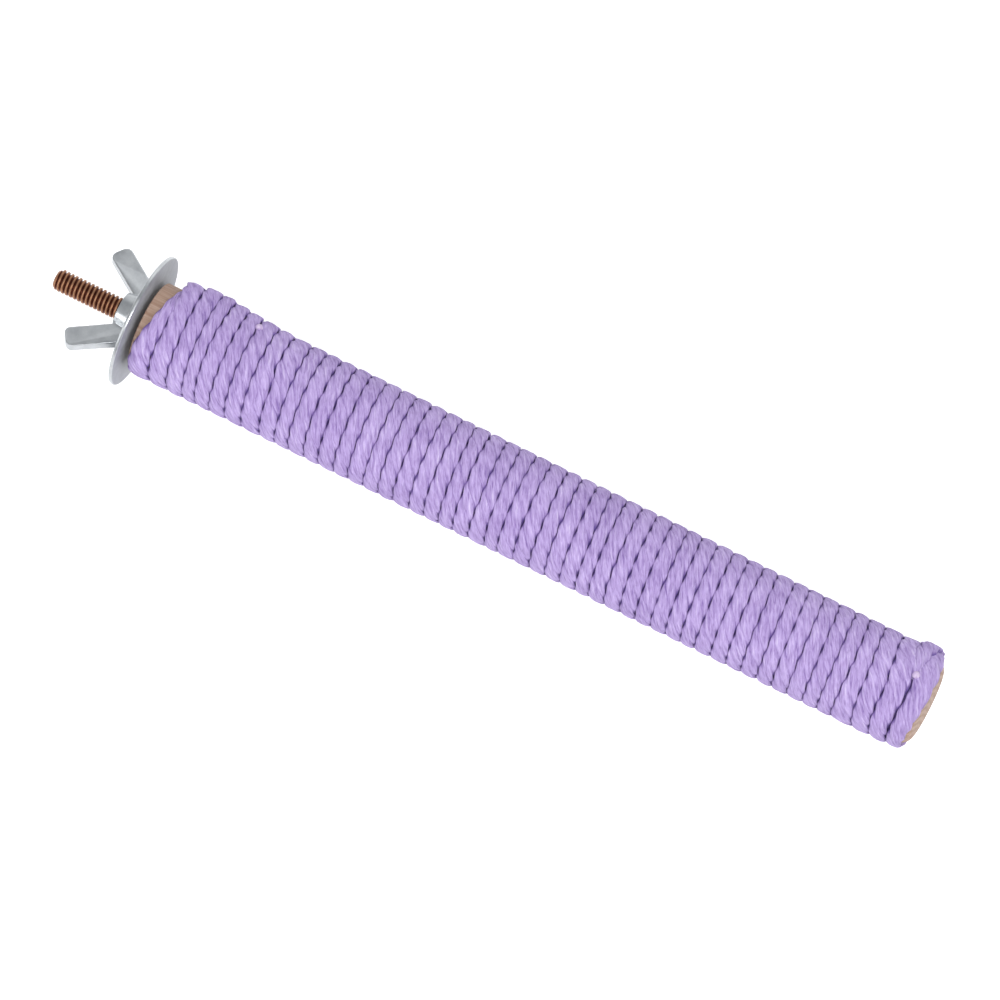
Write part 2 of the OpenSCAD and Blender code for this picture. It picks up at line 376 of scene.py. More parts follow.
def edit(piece):
    """Opens one piece alone in edit mode, with all of it selected."""
    bpy.ops.object.select_all(action="DESELECT")
    piece.select_set(True)
    bpy.context.view_layer.objects.active = piece
    bpy.ops.object.mode_set(mode="EDIT")
    bpy.ops.mesh.select_all(action="SELECT")


def clean_up(piece, angle):
    """Merges doubles, turns faces outwards and shades smooth below an angle in degrees."""
    edit(piece)
    bpy.ops.mesh.remove_doubles(threshold=DOUBLES)
    bpy.ops.mesh.normals_make_consistent(inside=False)
    bpy.ops.object.mode_set(mode="OBJECT")
    bpy.ops.object.shade_smooth_by_angle(angle=math.radians(angle))
    piece.select_set(False)


def apply_modifiers(piece):
    bpy.context.view_layer.objects.active = piece
    for modifier in list(piece.modifiers):
        bpy.ops.object.modifier_apply(modifier=modifier.name)


def turned(name, outline, sides, angle):
    """Spins an outline of (distance along the dowel, radius) points, in millimetres, round the axis."""
    bpy.ops.object.select_all(action="DESELECT")
    bpy.ops.mesh.primitive_circle_add(vertices=len(outline))
    piece = bpy.context.active_object
    piece.name = piece.data.name = name
    for corner, (x, r) in zip(piece.data.vertices, outline):
        corner.co = Vector((x, r, 0)) * MM
    edit(piece)
    bpy.ops.mesh.spin(steps=sides, angle=FULL_ANGLE, center=(0, 0, 0), axis=(1, 0, 0))
    bpy.ops.mesh.select_all(action="SELECT")
    bpy.ops.mesh.remove_doubles(threshold=DOUBLES)
    # An outline that starts and ends on the axis leaves a loose edge along it
    bpy.ops.mesh.delete_loose()
    bpy.ops.object.mode_set(mode="OBJECT")
    clean_up(piece, angle)
    return piece


def tube_mesh(name, points, uv=None):
    """A closed tube through rings of points, an array of (rings, sides, 3), with its ends filled."""
    rings, sides = points.shape[:2]
    ring, side = np.meshgrid(np.arange(rings - 1) * sides, np.arange(sides), indexing="ij")
    after = (side + 1) % sides
    quads = np.stack([ring + side, ring + after, ring + sides + after, ring + sides + side], -1)
    faces = [tuple(f) for f in quads.reshape(-1, 4).tolist()]
    faces.append(tuple(range(sides - 1, -1, -1)))
    faces.append(tuple((rings - 1) * sides + i for i in range(sides)))
    mesh = bpy.data.meshes.new(name)
    mesh.from_pydata(points.reshape(-1, 3).tolist(), [], faces)
    if uv is not None:
        around, along = uv
        corner = np.zeros(quads.shape + (2,))
        for c, (ring_step, side_step) in enumerate([(0, 0), (0, 1), (1, 1), (1, 0)]):
            corner[:, :, c, 0] = around[side + side_step]
            corner[:, :, c, 1] = along[np.arange(rings - 1) + ring_step][:, None]
        corner[..., 0] += corner[..., 1] * YARN_TWIST
        flat = np.zeros((len(mesh.loops), 2), np.float32)
        flat[:quads.size] = corner.reshape(-1, 2)
        mesh.uv_layers.new(name="yarn").data.foreach_set("uv", flat.ravel())
    mesh.polygons.foreach_set("use_smooth", [True] * len(mesh.polygons))
    mesh.update()
    return mesh


def point_values(mesh, name, values):
    """Stores a value at each point of a mesh, for its material to read."""
    layer = mesh.attributes.new(name, "FLOAT", "POINT")
    layer.data.foreach_set("value", np.asarray(values, np.float32).ravel())


# The rope's route, in millimetres and degrees

# Angles go round the dowel from +Y towards +Z. The rope is a cord, so it is made in mesh code
ROPE_T = 2.1
ROPE_W = 4.7
FRONT = 108.0
TURNS = 49
PAST_LAST_TURN = 0.15
SQUARENESS = 2.8
END_SQUARENESS = 2.2
ROUND_TO_TURN = 1.6
TIGHTNESS = 1.05
END_SETBACK = 10
FIRST_SEAM_X = 8.3
TURN_PITCH = 4.687
END_BOW = 1.7
BOW_FADE = 0.5
LOOSEN_IN = 0.5
LAST_GAP = 0.22
POINTS_A_TURN = 24
STEPS_A_POINT = 10
RING_STEP = 0.8

lay_r = core_r + ROPE_T / 2

# Seams between turns at the front, as (turn, distance from the cage end) where they leave the even pitch
START_SEAMS = [
    (-0.16, 5.8), (-0.06, 4.0), (0, 2.5), (0.04, 1.6), (0.08, 0.9), (0.16, 0.5), (0.3, 1.0), (0.5, 2.5),
    (0.75, 5.1), (1, 7.3), (1.07, 7.0), (1.15, 7.1), (1.5, 9.1), (2, 12.2), (2.15, 12.6), (3, 17.0),
    (4, 21.1), (5, 25.6), (6, 30.5), (8, 40.3)]
LAST_EVEN_TURN = 46
END_SEAMS = [
    (46.5, 218.9), (46.81, 222.0), (47, 224.0), (47.14, 224.3), (47.5, 225.8), (47.85, 227.7),
    (48, 229.9), (48.14, 229.7), (48.5, 231.5), (48.8, 234.2), (49, 236.0), (49.14, 235.0),
    (49.3, 235.0), (49.5, 235.6), (49.65, 236.9), (49.75, 239.0), (49.85, 241.2), (49.93, 242.1),
    (50, 242.0)]

# The rope's start, as (distance along, angle, height over the dowel, width, thickness, squareness)
TAIL_ROUTE = [
    (29.0, 30, 0.4, 3.4, 0.8, 2.4),
    (24.0, 30, 0.6, 3.8, 1.2, 2.4),
    (18.0, 30, 0.9, 4.2, 1.8, 2.4),
    (11.5, 31, 0.9, 4.2, 1.8, 2.4),
    (8.8, 37, 0.9, 4.2, 1.8, 2.4),
    (7.0, 48, 0.7, 3.8, 1.4, 2.5),
    (6.0, 66, 0.75, 3.6, 1.5, 2.5),
    (5.4, 87, 0.95, 4.0, 1.9, 2.6)]

# Its end, which crosses over itself and is tucked: angles past the last turn, heights over its lay
TUCKED_ROUTE = [
    (237.2, 80, -0.25, 4.6, 2.1, 2.0),
    (237.4, 126, -0.1, 4.7, 2.1, 2.0),
    (237.9, 180, 0, 4.8, 2.1, 2.1),
    (237.0, 216, 0.9, 5.0, 2.0, 2.0),
    (236.0, 244, 1.3, 6.0, 2.1, 2.0),
    (235.4, 268, 1.35, 6.6, 2.1, 2.0),
    (234.9, 290, 1.1, 5.8, 2.0, 2.0),
    (234.9, 308, 0.7, 5.0, 1.9, 2.0),
    (235.1, 322, 0.3, 4.0, 1.7, 2.1),
    (235.4, 332, -0.3, 3.0, 1.5, 2.2),
    (235.6, 340, -0.8, 2.2, 1.2, 2.2)]

# The tail lies along the dowel under the first turns, and lifts them less and less as it thins out
TAIL_ANGLE = 30
TAIL_LIFTS = [(3, 0), (7, 0.9), (10, 2.2), (18, 2.1), (22, 1.5), (28, 0.9), (33, 0.5), (40, 0)]
TAIL_SPREAD = 26
START_ANGLE = 60
START_LIFT = 0.4
START_LIFT_END = 10.5
START_LIFT_FADE = 2

# How far each seam strays from its place, in millimetres, at so many knots a turn
KNOTS_A_TURN = 3
STRAYING = 0.24
STRAY_FADE_TURNS = 3

random.seed(7)
strays = [random.gauss(0, STRAYING) for _ in range((TURNS + 3) * KNOTS_A_TURN)]


def read_off(table, place):
    """Reads a table of (place, value) pairs between its rows."""
    return float(np.interp(place, *zip(*table)))


def seam_x(turn):
    """Where the seam that starts a turn lies, before the turn's bow."""
    if turn < START_SEAMS[-1][0]:
        return read_off(START_SEAMS, turn)
    if turn <= LAST_EVEN_TURN:
        return FIRST_SEAM_X + TURN_PITCH * (turn - 1)
    return read_off([(LAST_EVEN_TURN, seam_x(LAST_EVEN_TURN))] + END_SEAMS, turn)


def seam_stray(turn):
    """Hand winding: each seam wanders a little, and less near the ends."""
    place = max(turn, 0) * KNOTS_A_TURN
    knot = int(place)
    share = eased(place - knot)
    fade = min(1, max(0, turn / STRAY_FADE_TURNS), max(0, (TURNS - turn) / STRAY_FADE_TURNS))
    return fade * (strays[knot] * (1 - share) + strays[knot + 1] * share)


def bow(turn, angle):
    """The turns lean more and more: their front lies nearer the free end than their back."""
    grown = max(0, turn / TURNS) * held((END_SEAMS[0][0] - turn) / BOW_FADE)
    return -END_BOW * grown * (1 - math.cos(math.radians(angle - FRONT)))


def nearness(angle, centre):
    """How near an angle is to a centre, from 1 there to 0 well beyond the tail's spread."""
    off = (angle - centre + FULL_TURN / 2) % FULL_TURN - FULL_TURN / 2
    return math.exp(-(off / TAIL_SPREAD) ** 2)


def lift_over_tail(x, angle):
    """How far the tail, and the rope's first bend, push a turn out that lies over them."""
    over_tail = read_off(TAIL_LIFTS, x) * nearness(angle, TAIL_ANGLE)
    over_start = START_LIFT * held((START_LIFT_END - x) / START_LIFT_FADE) * nearness(angle, START_ANGLE)
    return over_tail + over_start


def rope_route():
    """Rows of (x, angle, radius of the rope's middle, width, thickness, squareness) along the rope."""
    rows = [(x, angle, core_r + height, *section) for x, angle, height, *section in TAIL_ROUTE]
    for i in range(int((TURNS + PAST_LAST_TURN) * POINTS_A_TURN)):
        turn = i / POINTS_A_TURN
        angle = FRONT + FULL_TURN * turn
        left, right = (seam_x(t) + seam_stray(t) + bow(t, angle) for t in (turn, turn + 1))
        if turn > TURNS:
            right -= END_SETBACK * (turn - TURNS)
        loose = held((turn - TURNS + 1) / LOOSEN_IN)
        left += LAST_GAP * max(0, 2 * loose - 1)
        rounder = max(loose, held(ROUND_TO_TURN - turn))
        squareness = SQUARENESS * (1 - rounder) + END_SQUARENESS * rounder
        x = (left + right) / 2
        width = (right - left) * TIGHTNESS
        rows.append((x, angle, lay_r + lift_over_tail(x, angle), width, ROPE_T, squareness))
    end = FRONT + FULL_TURN * TURNS
    rows += [(x, end + angle, lay_r + height, *section) for x, angle, height, *section in TUCKED_ROUTE]
    return rows


def smooth_through(points, steps):
    """Points on a smooth curve through the given ones."""
    p = np.array([points[0]] + list(points) + [points[-1]], float)
    t = (np.arange(steps) / steps)[None, :, None]
    p0, p1, p2, p3 = (p[i:len(p) - 3 + i, None, :] for i in range(4))
    curve = 0.5 * (2 * p1 + (p2 - p0) * t + (2 * p0 - 5 * p1 + 4 * p2 - p3) * t ** 2
                   + (3 * p1 - p0 - 3 * p2 + p3) * t ** 3)
    return np.concatenate([curve.reshape(-1, p.shape[1]), p[-2:-1]])


def on_dowel(rows):
    """The points, and the angles in radians, of rows that start with (x, angle, radius)."""
    angle = np.radians(rows[:, 1])
    return np.stack([rows[:, 0], rows[:, 2] * np.cos(angle), rows[:, 2] * np.sin(angle)], 1), angle


class Rope:
    """The rope's middle line in even steps, and its section's directions, size and squareness there."""

    def __init__(self):
        fine = smooth_through(rope_route(), STEPS_A_POINT)
        steps = np.linalg.norm(np.diff(on_dowel(fine)[0], axis=0), axis=1)
        run = np.concatenate([[0], np.cumsum(steps)])
        self.length = run[-1]
        self.count = int(self.length / RING_STEP)
        self.at = np.linspace(0, self.length, self.count)
        rows = np.stack([np.interp(self.at, run, column) for column in fine.T], 1)
        self.points, angle = on_dowel(rows)
        along = np.gradient(self.points, axis=0)
        along /= np.linalg.norm(along, axis=1)[:, None]
        outward = np.stack([np.zeros(self.count), np.cos(angle), np.sin(angle)], 1)
        outward -= along * np.sum(outward * along, 1)[:, None]
        self.outward = outward / np.linalg.norm(outward, axis=1)[:, None]
        self.across = np.cross(self.outward, along)
        self.width, self.thick, self.squareness = rows[:, 3], rows[:, 4], rows[:, 5]


rope = Rope()
print(f"Rope length {rope.length:.0f} mm, rings {rope.count}")


# The rope's three strands

# Angles here are about the rope's middle, in radians, and a quarter turn is outward. A strand goes once
# round the rope in the length of its lay
LAY = 15.3
STRANDS = 3
STRAND_SIDES = 18
STRAND_HALF = math.pi / STRANDS
STRAND_R = ROPE_W / STRANDS
# The part of its third that a strand's crowned outside spans, and its two points deep inside the rope
CROWN_REACH = 1.22
INNER_ANGLES = (2.4, -2.4)
INNER_REACH = 0.12
# Depth of the groove beside a strand, as a share of the rope's, on the rope's face and on its sides
FACE_GROOVE = 0.2
SIDE_GROOVE = 0.21
UNDERSIDE_FADE = 1.6
FACE_POWER = 1.9
SIDE_POWER = 1.1
# A strand stays longer on the rope's face than its sides
FACE_DWELL = 0.3
# Unevenness of the lay and of the grooves: size, length of rope from knot to knot, and seed
LAY_WANDER = (0.8, 45, 11)
GROOVE_WANDER = (0.28, 5, 31)
GROOVE_LIMITS = (0.3, 1.6)
# Yarns run this far round a strand for each millimetre along it, and differ from strand to strand
YARN_TWIST = -0.19
YARN_OFFSET = 40
# Painted shade: the colour is darkened beside a strand and towards the rope's underside, where the light
# closes in
EDGE_DARK_FROM = 1.1
EDGE_DARK_OVER = 0.4
EDGE_POWER = 0.4
SIDE_DARK_AT = 0.05
SIDE_DARK_OVER = 0.45
SIDE_LIGHT_POWER = 0.6
LEAST_DARK = 0.5
# Beyond this distance along the dowel no turn lies next to the last one, so the light reaches its side and
# the painted shade is lifted there
FREE_FROM = 237.8
FREE_SIDE_GAIN = 2


def wander(size, step, seed):
    """A random course along the rope, with a knot at every step."""
    knots = np.random.default_rng(seed).normal(0, 1, int(rope.at[-1] / step) + 2)
    return size * np.interp(rope.at / step, np.arange(len(knots)), knots)


def strand_angles(strand):
    """Which way a strand lies from the rope's middle, all along it."""
    turned_by = -FULL_ANGLE * rope.at / LAY + FULL_ANGLE * strand / STRANDS + wander(*LAY_WANDER)
    return turned_by + FACE_DWELL * np.cos(turned_by)


def openness(spread, x, y, depth):
    """How open each point lies to the light, from 0 in the seams to 1 on the outer faces; the rope's colour
    is darkened by it as painted shade.
    """
    edge = np.clip((EDGE_DARK_FROM - np.abs(spread / STRAND_HALF)) / EDGE_DARK_OVER, 0, 1)
    side = np.clip((y - SIDE_DARK_AT) / SIDE_DARK_OVER, 0, 1)
    light = edge[None, :] ** EDGE_POWER * side ** SIDE_LIGHT_POWER
    opened = 1 - (1 - light) * np.clip(depth, LEAST_DARK, 1)
    beyond = np.clip(rope.points[:, :1] + rope.width[:, None] / 2 - FREE_FROM, 0, 1)
    return np.maximum(opened, beyond * np.clip(x * FREE_SIDE_GAIN, 0, 1))


def strand_rings(strand):
    """Rings of one strand: a third of the rope's flattened section, crowned, with a groove at each side."""
    crown = np.linspace(-CROWN_REACH, CROWN_REACH, STRAND_SIDES - len(INNER_ANGLES))
    spread = np.concatenate([crown * STRAND_HALF, INNER_ANGLES])
    way = strand_angles(strand)[:, None] + spread[None, :]
    sideways = np.cos(way) ** 2
    size, step, seed = GROOVE_WANDER
    depth = np.clip(1 + wander(size, step, seed + strand), *GROOVE_LIMITS)[:, None]
    groove = FACE_GROOVE + (SIDE_GROOVE - FACE_GROOVE) * sideways
    groove = groove * depth * np.clip(1 + UNDERSIDE_FADE * np.sin(way), 0, 1)
    power = FACE_POWER + (SIDE_POWER - FACE_POWER) * sideways
    reach = 1 - groove * np.abs(spread / STRAND_HALF)[None, :] ** power
    reach[:, -len(INNER_ANGLES):] = INNER_REACH
    # The round section is pressed into a square one with round corners, the more the further out
    square = rope.squareness[:, None]
    bulge = (np.abs(np.cos(way)) ** square + np.abs(np.sin(way)) ** square) ** (-1 / square)
    grow = 1 + (bulge - 1) * reach ** 2
    x, y = reach * np.cos(way) * grow, reach * np.sin(way) * grow
    rings = (rope.points[:, None, :] + rope.across[:, None, :] * (x * (rope.width / 2)[:, None])[..., None]
             + rope.outward[:, None, :] * (y * (rope.thick / 2)[:, None])[..., None])
    return rings * MM, spread, openness(spread, x, y, depth)


def rope_strand(strand):
    rings, spread, opened = strand_rings(strand)
    around = np.concatenate([spread, [spread[0] + FULL_ANGLE]]) * STRAND_R
    mesh = tube_mesh(f"rope_strand_{strand + 1}", rings, (around, rope.at + strand * YARN_OFFSET))
    point_values(mesh, "open", opened)
    return dress(put_in_scene(mesh), ROPE_FINISH, "cotton_rope", "rope_winding")


for strand in range(STRANDS):
    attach(rope_strand(strand), "perch")


# Loose fibres that stand off the rope, in millimetres and shares of its half width

FIBRES = 1200
FIBRE_R = 0.03
FIBRE_TAPER = 0.6
FIBRE_STEPS = 5
FIBRE_SIDES = 3
FIBRE_LENGTHS = (0.8, 3.0)
FIBRE_RISES = (0.15, 0.55)
FIBRE_CURL = 0.6
FIBRE_LEANS = (-0.7, 0.9)
# Where a fibre is rooted: rings left bare at the rope's ends, place across and depth in its thickness
BARE_RINGS = (60, 30)
ROOT_ACROSS = 0.9
ROOT_DEPTH = 0.42
# The part of a half wave that a fibre's rise follows
WAVE_FROM = 0.15
WAVE_SPAN = 0.75


def loose_fibre():
    """Rings of points of one curved fibre."""
    i = random.randrange(BARE_RINGS[0], rope.count - BARE_RINGS[1])
    side = random.uniform(-ROOT_ACROSS, ROOT_ACROSS)
    out, across = Vector(rope.outward[i]), Vector(rope.across[i])
    root = Vector(rope.points[i]) + across * side * rope.width[i] / 2 + out * rope.thick[i] * ROOT_DEPTH
    run = across.cross(out)
    lean = across * random.uniform(*FIBRE_LEANS)
    way = (run * random.choice((-1, 1)) + lean).normalized()
    length = random.uniform(*FIBRE_LENGTHS)
    rise = random.uniform(*FIBRE_RISES)
    curl = across * random.uniform(-FIBRE_CURL, FIBRE_CURL)
    sideways = out.cross(way).normalized()
    for k in range(FIBRE_STEPS + 1):
        t = k / FIBRE_STEPS
        risen = out * rise * math.sin(math.pi * (WAVE_FROM + WAVE_SPAN * t))
        place = root + way * length * t + risen + curl * t * t
        thin = FIBRE_R * (1 - FIBRE_TAPER * t)
        for s in range(FIBRE_SIDES):
            a = FULL_ANGLE * s / FIBRE_SIDES
            yield (place + (sideways * math.cos(a) + out * math.sin(a)) * thin) * MM


def loose_fibres():
    random.seed(23)
    points, faces = [], []
    for _ in range(FIBRES):
        base = len(points)
        points += loose_fibre()
        for k in range(base, base + FIBRE_STEPS * FIBRE_SIDES, FIBRE_SIDES):
            for s in range(FIBRE_SIDES):
                a, b = k + s, k + (s + 1) % FIBRE_SIDES
                faces.append((a, b, b + FIBRE_SIDES, a + FIBRE_SIDES))
        faces.append(tuple(range(base + FIBRE_SIDES - 1, base - 1, -1)))
        faces.append(tuple(range(len(points) - FIBRE_SIDES, len(points))))
    mesh = bpy.data.meshes.new("rope_fuzz")
    mesh.from_pydata(points, [], faces)
    mesh.uv_layers.new(name="yarn")
    point_values(mesh, "open", [1] * len(points))
    mesh.update()
    return dress(put_in_scene(mesh), ROPE_FINISH, "cotton_rope")


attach(loose_fibres(), "perch")


# The hanger bolt, with a right-hand helical thread at each end

# Its threads run out on the plain shank between them and at both tips, which the operators can't give, so
# it is made in mesh code. Lengths are in millimetres, and crests and roots in shares of the pitch
THREAD_PITCH = 1.27
THREAD_DEPTH = 0.6
THREAD_CREST = 0.3
THREAD_ROOT = 0.15
TIP_CHAMFER = 0.85
TIP_SLOPE = 0.85
SCREW_PITCH = 2.4
SCREW_ROOT_R = 2.25
SCREW_CREST = 0.1
SCREW_ROOT = 0.55
SCREW_RUN_IN = 1.5
POINT_R = 0.05
POINT_SLOPE = 0.62
SHANK_FROM = 0.0
SHANK_TO = 4.0
BOLT_STEP = 0.09
BOLT_SIDES = 64


def thread_height(phase, crest, root):
    """Height of a thread from 0 at its root to 1 at its crest, over one pitch, with rounded flanks."""
    away = abs(phase % 1 - 0.5) * 2
    return eased(held((away - root) / (1 - crest - root)))


def bolt_radius(x, angle):
    """Outer radius of the bolt at a distance along it and an angle round it, and how near a crest it is."""
    turn = angle / FULL_ANGLE
    if x < SHANK_TO:
        depth = THREAD_DEPTH * held((SHANK_FROM - x) / THREAD_PITCH)
        height = thread_height(x / THREAD_PITCH - turn, THREAD_CREST, THREAD_ROOT)
        limit = stud_r - TIP_CHAMFER + max(0, x - STUD_TIP_X / MM) * TIP_SLOPE
        return min(stud_r - depth * (1 - height), limit), height
    depth = (stud_r - SCREW_ROOT_R) * min(1, (x - SHANK_TO) / SCREW_RUN_IN)
    height = thread_height(x / SCREW_PITCH - turn, SCREW_CREST, SCREW_ROOT)
    limit = max(POINT_R, (SCREW_TIP_X / MM - x) * POINT_SLOPE)
    return min(stud_r - depth * (1 - height), limit), height


def hanger_bolt():
    tip, point = STUD_TIP_X / MM, SCREW_TIP_X / MM
    rings, crest = [], []
    for x in np.linspace(tip, point, int((point - tip) / BOLT_STEP)):
        for a in np.arange(BOLT_SIDES) * FULL_ANGLE / BOLT_SIDES:
            r, height = bolt_radius(x, a)
            rings.append((x, r * math.cos(a), r * math.sin(a)))
            crest.append(height)
    mesh = tube_mesh("hanger_bolt_threaded", np.array(rings).reshape(-1, BOLT_SIDES, 3) * MM)
    point_values(mesh, "crest", crest)
    return dress(put_in_scene(mesh), BOLT_FINISH, "bolt_steel", "hanger_bolt")


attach(hanger_bolt(), "perch")


# The washer, stamped from sheet: the die rolls one edge of its rim over, and leaves the rim brighter

WASHER_HOLE_R = 3.75
# The hole's broken edges: depth and width at the outer face, and both at the inner face
HOLE_BREAKS = (0.2, 0.25, 0.1)
ROLLED_DEPTH = 0.45
ROLLED_WIDTH = 0.55
ROLLED_STEPS = 6
# The inner edge's small round, as (distance from the face, distance from the rim)
INNER_ROUND = [(0.3, 0), (0.15, 0.04), (0.04, 0.15), (0, 0.3)]
WASHER_SIDES = 160
WASHER_SMOOTH = 30


def stamped_washer():
    outer_r = WASHER_R / MM
    outer_face, inner_face = WASHER[0].x / MM, WASHER[1].x / MM
    break_depth, break_width, inner_break = HOLE_BREAKS
    flat_r = outer_r - ROLLED_WIDTH
    outline = [(outer_face, WASHER_HOLE_R + break_width)]
    for step in range(ROLLED_STEPS + 1):
        a = math.pi / 2 * step / ROLLED_STEPS
        rolled = outer_face + ROLLED_DEPTH * (1 - math.cos(a))
        outline.append((rolled, flat_r + ROLLED_WIDTH * math.sin(a)))
    outline += [(inner_face - depth, outer_r - width) for depth, width in INNER_ROUND]
    outline += [
        (inner_face, WASHER_HOLE_R + inner_break),
        (inner_face - inner_break, WASHER_HOLE_R),
        (outer_face + break_depth, WASHER_HOLE_R)]
    piece = turned("washer_stamped", outline, WASHER_SIDES, WASHER_SMOOTH)
    dress(piece, WASHER_FINISH, "washer_zinc", "washer")
    piece.data.materials.append(NUT_FINISH)
    for face in piece.data.polygons:
        face.material_index = int(face.center.yz.length > flat_r * MM)
    return piece


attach(stamped_washer(), "clamp_washer")


# The wing nut, forged in one: hub and wings are joined, and their meeting edges softened

NUT_TURN = 10
WING_SPLAY = 34.5
WING_W = 6.2
WING_T = 3.0
WING_CORNER = 1.8
WING_SPAN = 35.6
WING_CORNER_STEPS = 8
WING_CUTS = 5
TIP_SHARE = 0.9
# A wing keeps its thickness over this share of its length and thickens from there to its root. It is drawn
# thinner at its edges
THIN_SHARE = 0.35
ROOT_GROWTH = 0.75
ROOT_POWER = 1.2
EDGE_THINNING = 0.12
HUB_H = 6.4
HUB_BASE_R = 6.5
HUB_TOP_R = 5.3
HUB_SIDES = 96
FORGE_VOXEL = 0.14
FORGE_SOFTENING = 6
NUT_SMOOTH = 40
# The bore: its clearance over the stud, and how far in each mouth is countersunk
BORE_CLEAR = 0.1
TOP_SINK = 0.7
BASE_SINK = 0.5
BORE_OVERRUN = 1
BORE_RINGS = 100
BORE_SIDES = 48
BORE_SMOOTH = 30


def wing_blank(side):
    """One wing: a plate in the plane of the bolt, with a rounded tip, thickened towards its root."""
    height = (NUT_BASE_X - NUT_TIP_X) / MM
    splay = math.radians(WING_SPLAY)
    across = WING_W / 2 - WING_CORNER
    along = (WING_SPAN / 2 - WING_CORNER - across * math.cos(splay)) / math.sin(splay)
    length = along + WING_CORNER
    foot = along * math.cos(splay) + across * math.sin(splay) + WING_CORNER - height
    bpy.ops.object.select_all(action="DESELECT")
    bpy.ops.mesh.primitive_cube_add(size=1)
    piece = bpy.context.active_object
    piece.name = f"wing_{side}"
    piece.scale = (length * MM, WING_W * MM, WING_T * MM)
    piece.location = (length / 2 * MM, 0, 0)
    bpy.ops.object.transform_apply(location=True, rotation=True, scale=True)
    # Only the two edges across the plate's thickness at its tip are rounded, so edges are what is selected
    edit(piece)
    bpy.ops.mesh.select_mode(type="EDGE")
    bpy.ops.mesh.select_all(action="DESELECT")
    bpy.ops.object.mode_set(mode="OBJECT")
    for edge in piece.data.edges:
        a, b = (piece.data.vertices[i].co for i in edge.vertices)
        edge.select = min(a.x, b.x) > length * MM * TIP_SHARE and abs(a.z - b.z) > WING_T * MM / 2
    bpy.ops.object.mode_set(mode="EDIT")
    bpy.ops.mesh.bevel(offset=WING_CORNER * MM, segments=WING_CORNER_STEPS, affect="EDGES")
    bpy.ops.mesh.select_all(action="SELECT")
    bpy.ops.mesh.subdivide(number_cuts=WING_CUTS)
    bpy.ops.mesh.select_mode(type="VERT")
    bpy.ops.object.mode_set(mode="OBJECT")
    for corner in piece.data.vertices:
        root = 1 - corner.co.x / (length * MM)
        middle = 1 - abs(corner.co.y) / (WING_W * MM / 2)
        grown = ROOT_GROWTH * max(0, root - THIN_SHARE) ** ROOT_POWER
        corner.co.z *= 1 + grown + EDGE_THINNING * middle - EDGE_THINNING
    place = Matrix.Translation((NUT_BASE_X + foot * MM, 0, 0))
    piece.data.transform(place @ Matrix.Rotation(math.pi - splay, 4, "Z"))
    if side == "low":
        piece.data.transform(Matrix.Scale(-1, 4, (0, 1, 0)))
        piece.data.flip_normals()
    return piece


def tapered_hub():
    middle = NUT_BASE_X - HUB_H * MM / 2
    bpy.ops.object.select_all(action="DESELECT")
    bpy.ops.mesh.primitive_cylinder_add(
        vertices=HUB_SIDES, radius=HUB_BASE_R * MM, depth=HUB_H * MM, location=(middle, 0, 0),
        rotation=(0, -math.pi / 2, 0))
    hub = bpy.context.active_object
    bpy.ops.object.transform_apply(location=True, rotation=True, scale=True)
    for corner in hub.data.vertices:
        if corner.co.x < middle:
            corner.co.yz *= HUB_TOP_R / HUB_BASE_R
    return hub


def bore_cutter():
    """The nut's bore: a helix of the stud's pitch, with a countersink at each mouth."""
    bore_r = stud_r + BORE_CLEAR
    base = NUT_BASE_X / MM
    top = base - HUB_H
    rings = []
    for x in np.linspace(top - BORE_OVERRUN, base + BORE_OVERRUN, BORE_RINGS):
        mouth = max(0, top + TOP_SINK - x, x - (base - BASE_SINK))
        for a in np.arange(BORE_SIDES) * FULL_ANGLE / BORE_SIDES:
            height = thread_height(x / THREAD_PITCH - a / FULL_ANGLE, THREAD_CREST, THREAD_ROOT)
            r = bore_r - THREAD_DEPTH + max(THREAD_DEPTH * height, mouth)
            rings.append((x, r * math.cos(a), r * math.sin(a)))
    cutter = put_in_scene(tube_mesh("bore", np.array(rings).reshape(-1, BORE_SIDES, 3) * MM))
    clean_up(cutter, BORE_SMOOTH)
    return cutter


def forged_wing_nut():
    blanks = [wing_blank("high"), wing_blank("low"), tapered_hub()]
    for piece in blanks:
        piece.select_set(True)
    bpy.ops.object.join()
    nut = bpy.context.active_object
    nut.name = nut.data.name = "wing_nut_forged"
    forge = nut.modifiers.new("forge", "REMESH")
    forge.mode = "VOXEL"
    forge.voxel_size = FORGE_VOXEL * MM
    soften = nut.modifiers.new("soften", "SMOOTH")
    soften.factor = 0.5
    soften.iterations = FORGE_SOFTENING
    apply_modifiers(nut)
    # The wings' feet cross below the base, so the base is cut flat and its bore opened
    edit(nut)
    bpy.ops.mesh.bisect(
        plane_co=(NUT_BASE_X, 0, 0), plane_no=(1, 0, 0), use_fill=True, clear_outer=True, threshold=0)
    bpy.ops.object.mode_set(mode="OBJECT")
    bore = bore_cutter()
    drill = nut.modifiers.new("drill", "BOOLEAN")
    drill.operation = "DIFFERENCE"
    drill.solver = "EXACT"
    drill.object = bore
    apply_modifiers(nut)
    bpy.data.objects.remove(bore)
    nut.data.transform(Matrix.Rotation(math.radians(-NUT_TURN), 4, "X"))
    clean_up(nut, NUT_SMOOTH)
    return dress(nut, NUT_FINISH, "nut_zinc", "wing_nut")


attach(forged_wing_nut(), "nut")


# Drops of glue at the rope's two ends: each is low, uneven and a little wider than high

DROP_WAVES = 7
DROP_WAVE_RATE = 3.2
DROP_PHASES = (0, 6)
DROP_UNEVENNESS = 0.14


